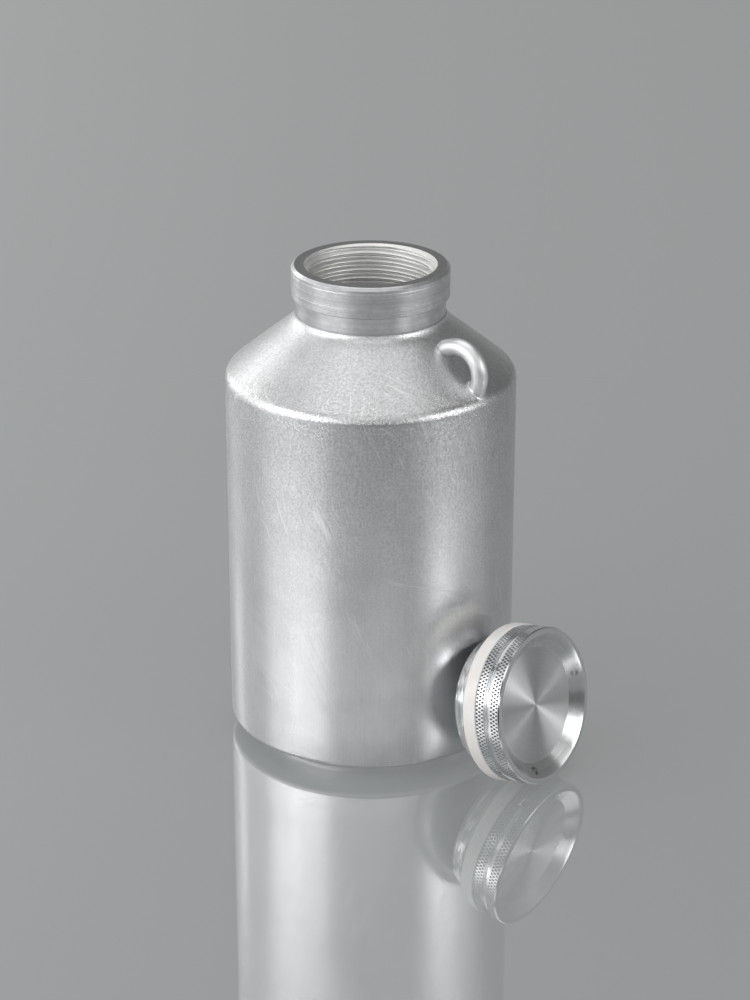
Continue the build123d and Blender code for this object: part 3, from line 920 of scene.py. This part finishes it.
def natural_polyethylene():
    """Polyethylene without pigment, moulded and skimmed on a lathe: warm white, waxy, and faintly
    see-through, so that its edges stay soft."""
    material, tree, shader = new_material("natural_white_polyethylene", "#F8F6F3", 0.45, 0.0)
    shader.inputs["Subsurface Weight"].default_value = 0.25
    shader.inputs["Subsurface Radius"].default_value = (0.0014, 0.0012, 0.0010)
    shader.inputs["Subsurface Scale"].default_value = 1.0
    place = add_node(tree, "ShaderNodeTexCoord").outputs["Object"]
    cloud_look = {"Vector": place, "Scale": per_metre(8.33), "Detail": 3.0, "Roughness": 0.5}
    cloud = add_node(tree, "ShaderNodeTexNoise", {}, cloud_look).outputs[0]
    # skim marks are about 0.2 mm apart, drawn coarser so that they show
    skim_look = {"Vector": place, "Scale": per_metre(0.667), "Detail": 2.0, "Roughness": 0.5}
    skim = add_node(tree, "ShaderNodeTexNoise", {}, skim_look).outputs[0]
    cloud_share = joined(tree, "ShaderNodeMapRange", cloud, 0.35, 0.7, 0.0, 1.0)
    tones = {0: cloud_share, 6: linear("#FAF8F6"), 7: linear("#F0ECE8")}
    colour = add_node(tree, "ShaderNodeMix", COLOUR_MIX, tones).outputs[2]
    tree.links.new(colour, shader.inputs["Base Color"])
    rough = joined(tree, "ShaderNodeMapRange", cloud, 0.3, 0.7, 0.4, 0.52)
    tree.links.new(rough, shader.inputs["Roughness"])
    relief = {"Height": skim, "Strength": 1.0, "Distance": 0.01 * MM}
    relief = add_node(tree, "ShaderNodeBump", {}, relief).outputs[0]
    tree.links.new(relief, shader.inputs["Normal"])
    return material


def dress(piece, *materials):
    piece.data.materials.clear()
    for material in materials:
        piece.data.materials.append(material)


# drawn, spun and etched sheet of the can: soft satin with fine streaks and a leathery shoulder
shell_metal = etched_drawn_aluminium()
# turned and etched collar, dulled by use: faint rings under a worn satin
neck_metal = turned_surface(
    "fine_turned_aluminium", "#C6C7C8", "#E4E5E6", 0.34, 0.40, 0.004, 0.35, 0.2, worn=1.0
)
# faced rim, the darkest of the turned faces: its colour is darkened as a painted dark reflection of the
# surroundings it mirrors
rim_painted_reflection_metal = turned_surface("faced_rim_painted_dark_reflection", "#8E8E90", "#B0B1B2", 0.24, 0.3, 0.004, 0.3, 0.4, worn=0.8)
# tapped and etched bore: pale and even, so that only the thread's form shows
bore_metal = plain_satin("tapped_aluminium", "#E0E0DE", "#ECECEA", 0.5, 0.5, 0.006)
# hand-welded and blended beads: a little darker and rougher than the sheet
weld_metal = plain_satin("blended_weld_aluminium", "#D4D5D6", "#E8E9EA", 0.38, 0.5, 0.015)
# bent bar, etched after welding: the palest metal, with a broad, soft gloss
bar_metal = plain_satin("etched_bar_aluminium", "#E6E7E8", "#F4F5F6", 0.46, 0.35, 0.010)
# bright turned cap: the glossiest metal, its highlights drawn out a little across the tool's rings
cap_metal = turned_surface("bright_turned_aluminium", "#D8D9DA", "#EEEFF0", 0.2, 0.25, 0.002, 0.25, 0.5)
# faced floor of the cap's dish: fine circles that smear every light into a fan from the centre
disc_metal = turned_surface("faced_aluminium", "#D8DADB", "#E4E5E6", 0.46, 0.48, 0.0006, 0.25, 0.95)
# lands of the rolled knurl: polished by hands, so they glint
knurl_metal = plain_satin("knurled_aluminium", "#E2E3E4", "#F2F3F4", 0.28, 0.4, 0.004)
# pits of the knurl: dull, and darkened with painted shade in the hollows
pit_painted_shade = plain_satin("knurl_pits_painted_shade", "#77787A", "#96979A", 0.35, 0.4, 0.004)
# the gasket's plastic: warm white and waxy
plastic = natural_polyethylene()

dress(make_bottle_shell(), shell_metal)
neck_ring = make_neck_ring()
dress(neck_ring, neck_metal, rim_painted_reflection_metal, bore_metal)
assign_zones(neck_ring, Matrix.Identity(4), neck_zone)
dress(make_neck_weld(), shell_metal)
dress(make_eye_bar(), bar_metal)
# the upper bead is ground down to almost nothing, the lower one is left as a small fillet
upper_bar_r = EYE_BAR_R - 1.1
upper_bead = make_eye_weld("eye_weld_fillet_upper", "eye_weld_upper", "upper", upper_bar_r, 0.3, 0.3, 0.3)
lower_bead = make_eye_weld("eye_weld_fillet_lower", "eye_weld_lower", "lower", EYE_BAR_R, 1.0, 1.2, 1.6)
dress(upper_bead, bar_metal)
dress(lower_bead, weld_metal)
cap_turning = make_cap_turning()
dress(cap_turning, cap_metal, disc_metal)
assign_zones(cap_turning, CAP_PLACE, cap_zone)
knurl = knurl_tree()
rear_top = -GROOVE_TOP - GROOVE_W - 0.15
make_knurl(knurl, "knurl_front", -GROOVE_TOP + 0.15, -FLANGE_BEVEL - 0.1, knurl_metal, pit_painted_shade)
make_knurl(knurl, "knurl_rear", -FLANGE_T + 0.25, rear_top, knurl_metal, pit_painted_shade)
dress(make_gasket_ring(), plastic)


# ---------------------------------------------------------------- studio

def make_floor():
    """A grey acrylic sheet, lit from below to a pale even tone, whose gloss mirrors the bottle.

    Its index of refraction stands well over a real sheet's 1.49, for a stronger mirror image.
    """
    mesh = bpy.data.meshes.new("floor")
    half = 6.0
    corners = [(-half, -half, 0), (half, -half, 0), (half, half, 0), (-half, half, 0)]
    mesh.from_pydata(corners, [], [(0, 1, 2, 3)])
    floor = bpy.data.objects.new("floor", mesh)
    bpy.context.collection.objects.link(floor)
    sheet, _, shader = new_material("pale_grey_acrylic_sheet", "#66686A", 0.015, 0.0)
    shader.inputs["IOR"].default_value = 2.8
    shader.inputs["Emission Color"].default_value = linear("#6D6F6F")
    shader.inputs["Emission Strength"].default_value = 1.0
    mesh.materials.append(sheet)


def softbox(name, place, aim, size, glow):
    """An evenly lit panel; glow is its brightness, where 1 shows as white."""
    lamp = bpy.data.lights.new(name, "AREA")
    lamp.shape = "RECTANGLE"
    lamp.size, lamp.size_y = size
    lamp.energy = glow * size[0] * size[1] * math.pi
    box = bpy.data.objects.new(name, lamp)
    box.location = place
    box.rotation_euler = (Vector(aim) - Vector(place)).to_track_quat("-Z", "Y").to_euler()
    bpy.context.collection.objects.link(box)


def make_walls():
    """Pale walls round the studio: a bright one on the left, dim ones on the right and behind."""
    world = bpy.data.worlds.new("studio")
    world.use_nodes = True
    tree = world.node_tree
    look = add_node(tree, "ShaderNodeTexCoord").outputs["Generated"]
    room = None
    for wall, glow in (
        ((-1.0, 0.0, 0.0), 0.96),
        ((1.0, 0.0, 0.0), 0.25),
        ((-0.6, 0.8, 0.0), 0.5),
    ):
        dot = add_node(tree, "ShaderNodeVectorMath", {"operation": "DOT_PRODUCT"}, {0: look, 1: wall})
        facing = joined(tree, "ShaderNodeMath", dot.outputs["Value"], 0.0, operation="MAXIMUM")
        soft = joined(tree, "ShaderNodeMath", facing, 1.5, operation="POWER")
        lit = joined(tree, "ShaderNodeMath", soft, glow, operation="MULTIPLY")
        if room is None:
            room = lit
        else:
            room = joined(tree, "ShaderNodeMath", room, lit, operation="ADD")
    tree.links.new(room, tree.nodes["Background"].inputs["Color"])
    return world


def make_studio():
    """Soft panels all round, as a product studio has them: name, place, size and brightness of each."""
    make_floor()
    aim = (0, 0, 0.09)
    for name, place, size, glow in (
        ("left_softbox", (-1.2, -0.98, 0.68), (0.85, 0.5), 4.0),
        ("left_side_panel", (-1.6, -0.35, 0.7), (0.6, 1.0), 2.2),
        ("right_softbox", (1.3, -0.82, 0.72), (0.65, 0.42), 5.2),
        ("right_side_panel", (1.6, -0.2, 0.7), (0.6, 1.0), 1.0),
        ("front_strip", (0.0, -1.5, 0.68), (2.0, 0.2), 2.5),
        ("front_overhead_panel", (0.0, -0.9, 1.35), (1.7, 0.5), 1.35),
        ("ceiling_panel", (0.0, 0.0, 1.7), (1.6, 0.8), 1.3),
        ("rear_ceiling_softbox", (0.0, 0.7, 1.5), (1.6, 0.7), 1.2),
        ("rear_left_strip", (-0.95, 0.9, 0.45), (0.14, 0.8), 3.6),
    ):
        softbox(name, place, aim, size, glow)
    bpy.context.scene.world = make_walls()
    bpy.context.scene.view_settings.view_transform = "Standard"


def make_camera():
    """A long lens 1 m off, looking down at the bottle by 23 degrees."""
    lens = bpy.data.cameras.new("camera")
    lens.sensor_width = 36.0
    lens.lens = 98.83
    camera = bpy.data.objects.new("camera", lens)
    camera.location = (0.00068, -0.885, 0.458)
    camera.rotation_euler = (math.radians(90 - 22.88), 0, math.radians(-0.05))
    bpy.context.collection.objects.link(camera)
    bpy.context.scene.camera = camera


make_studio()
make_camera()
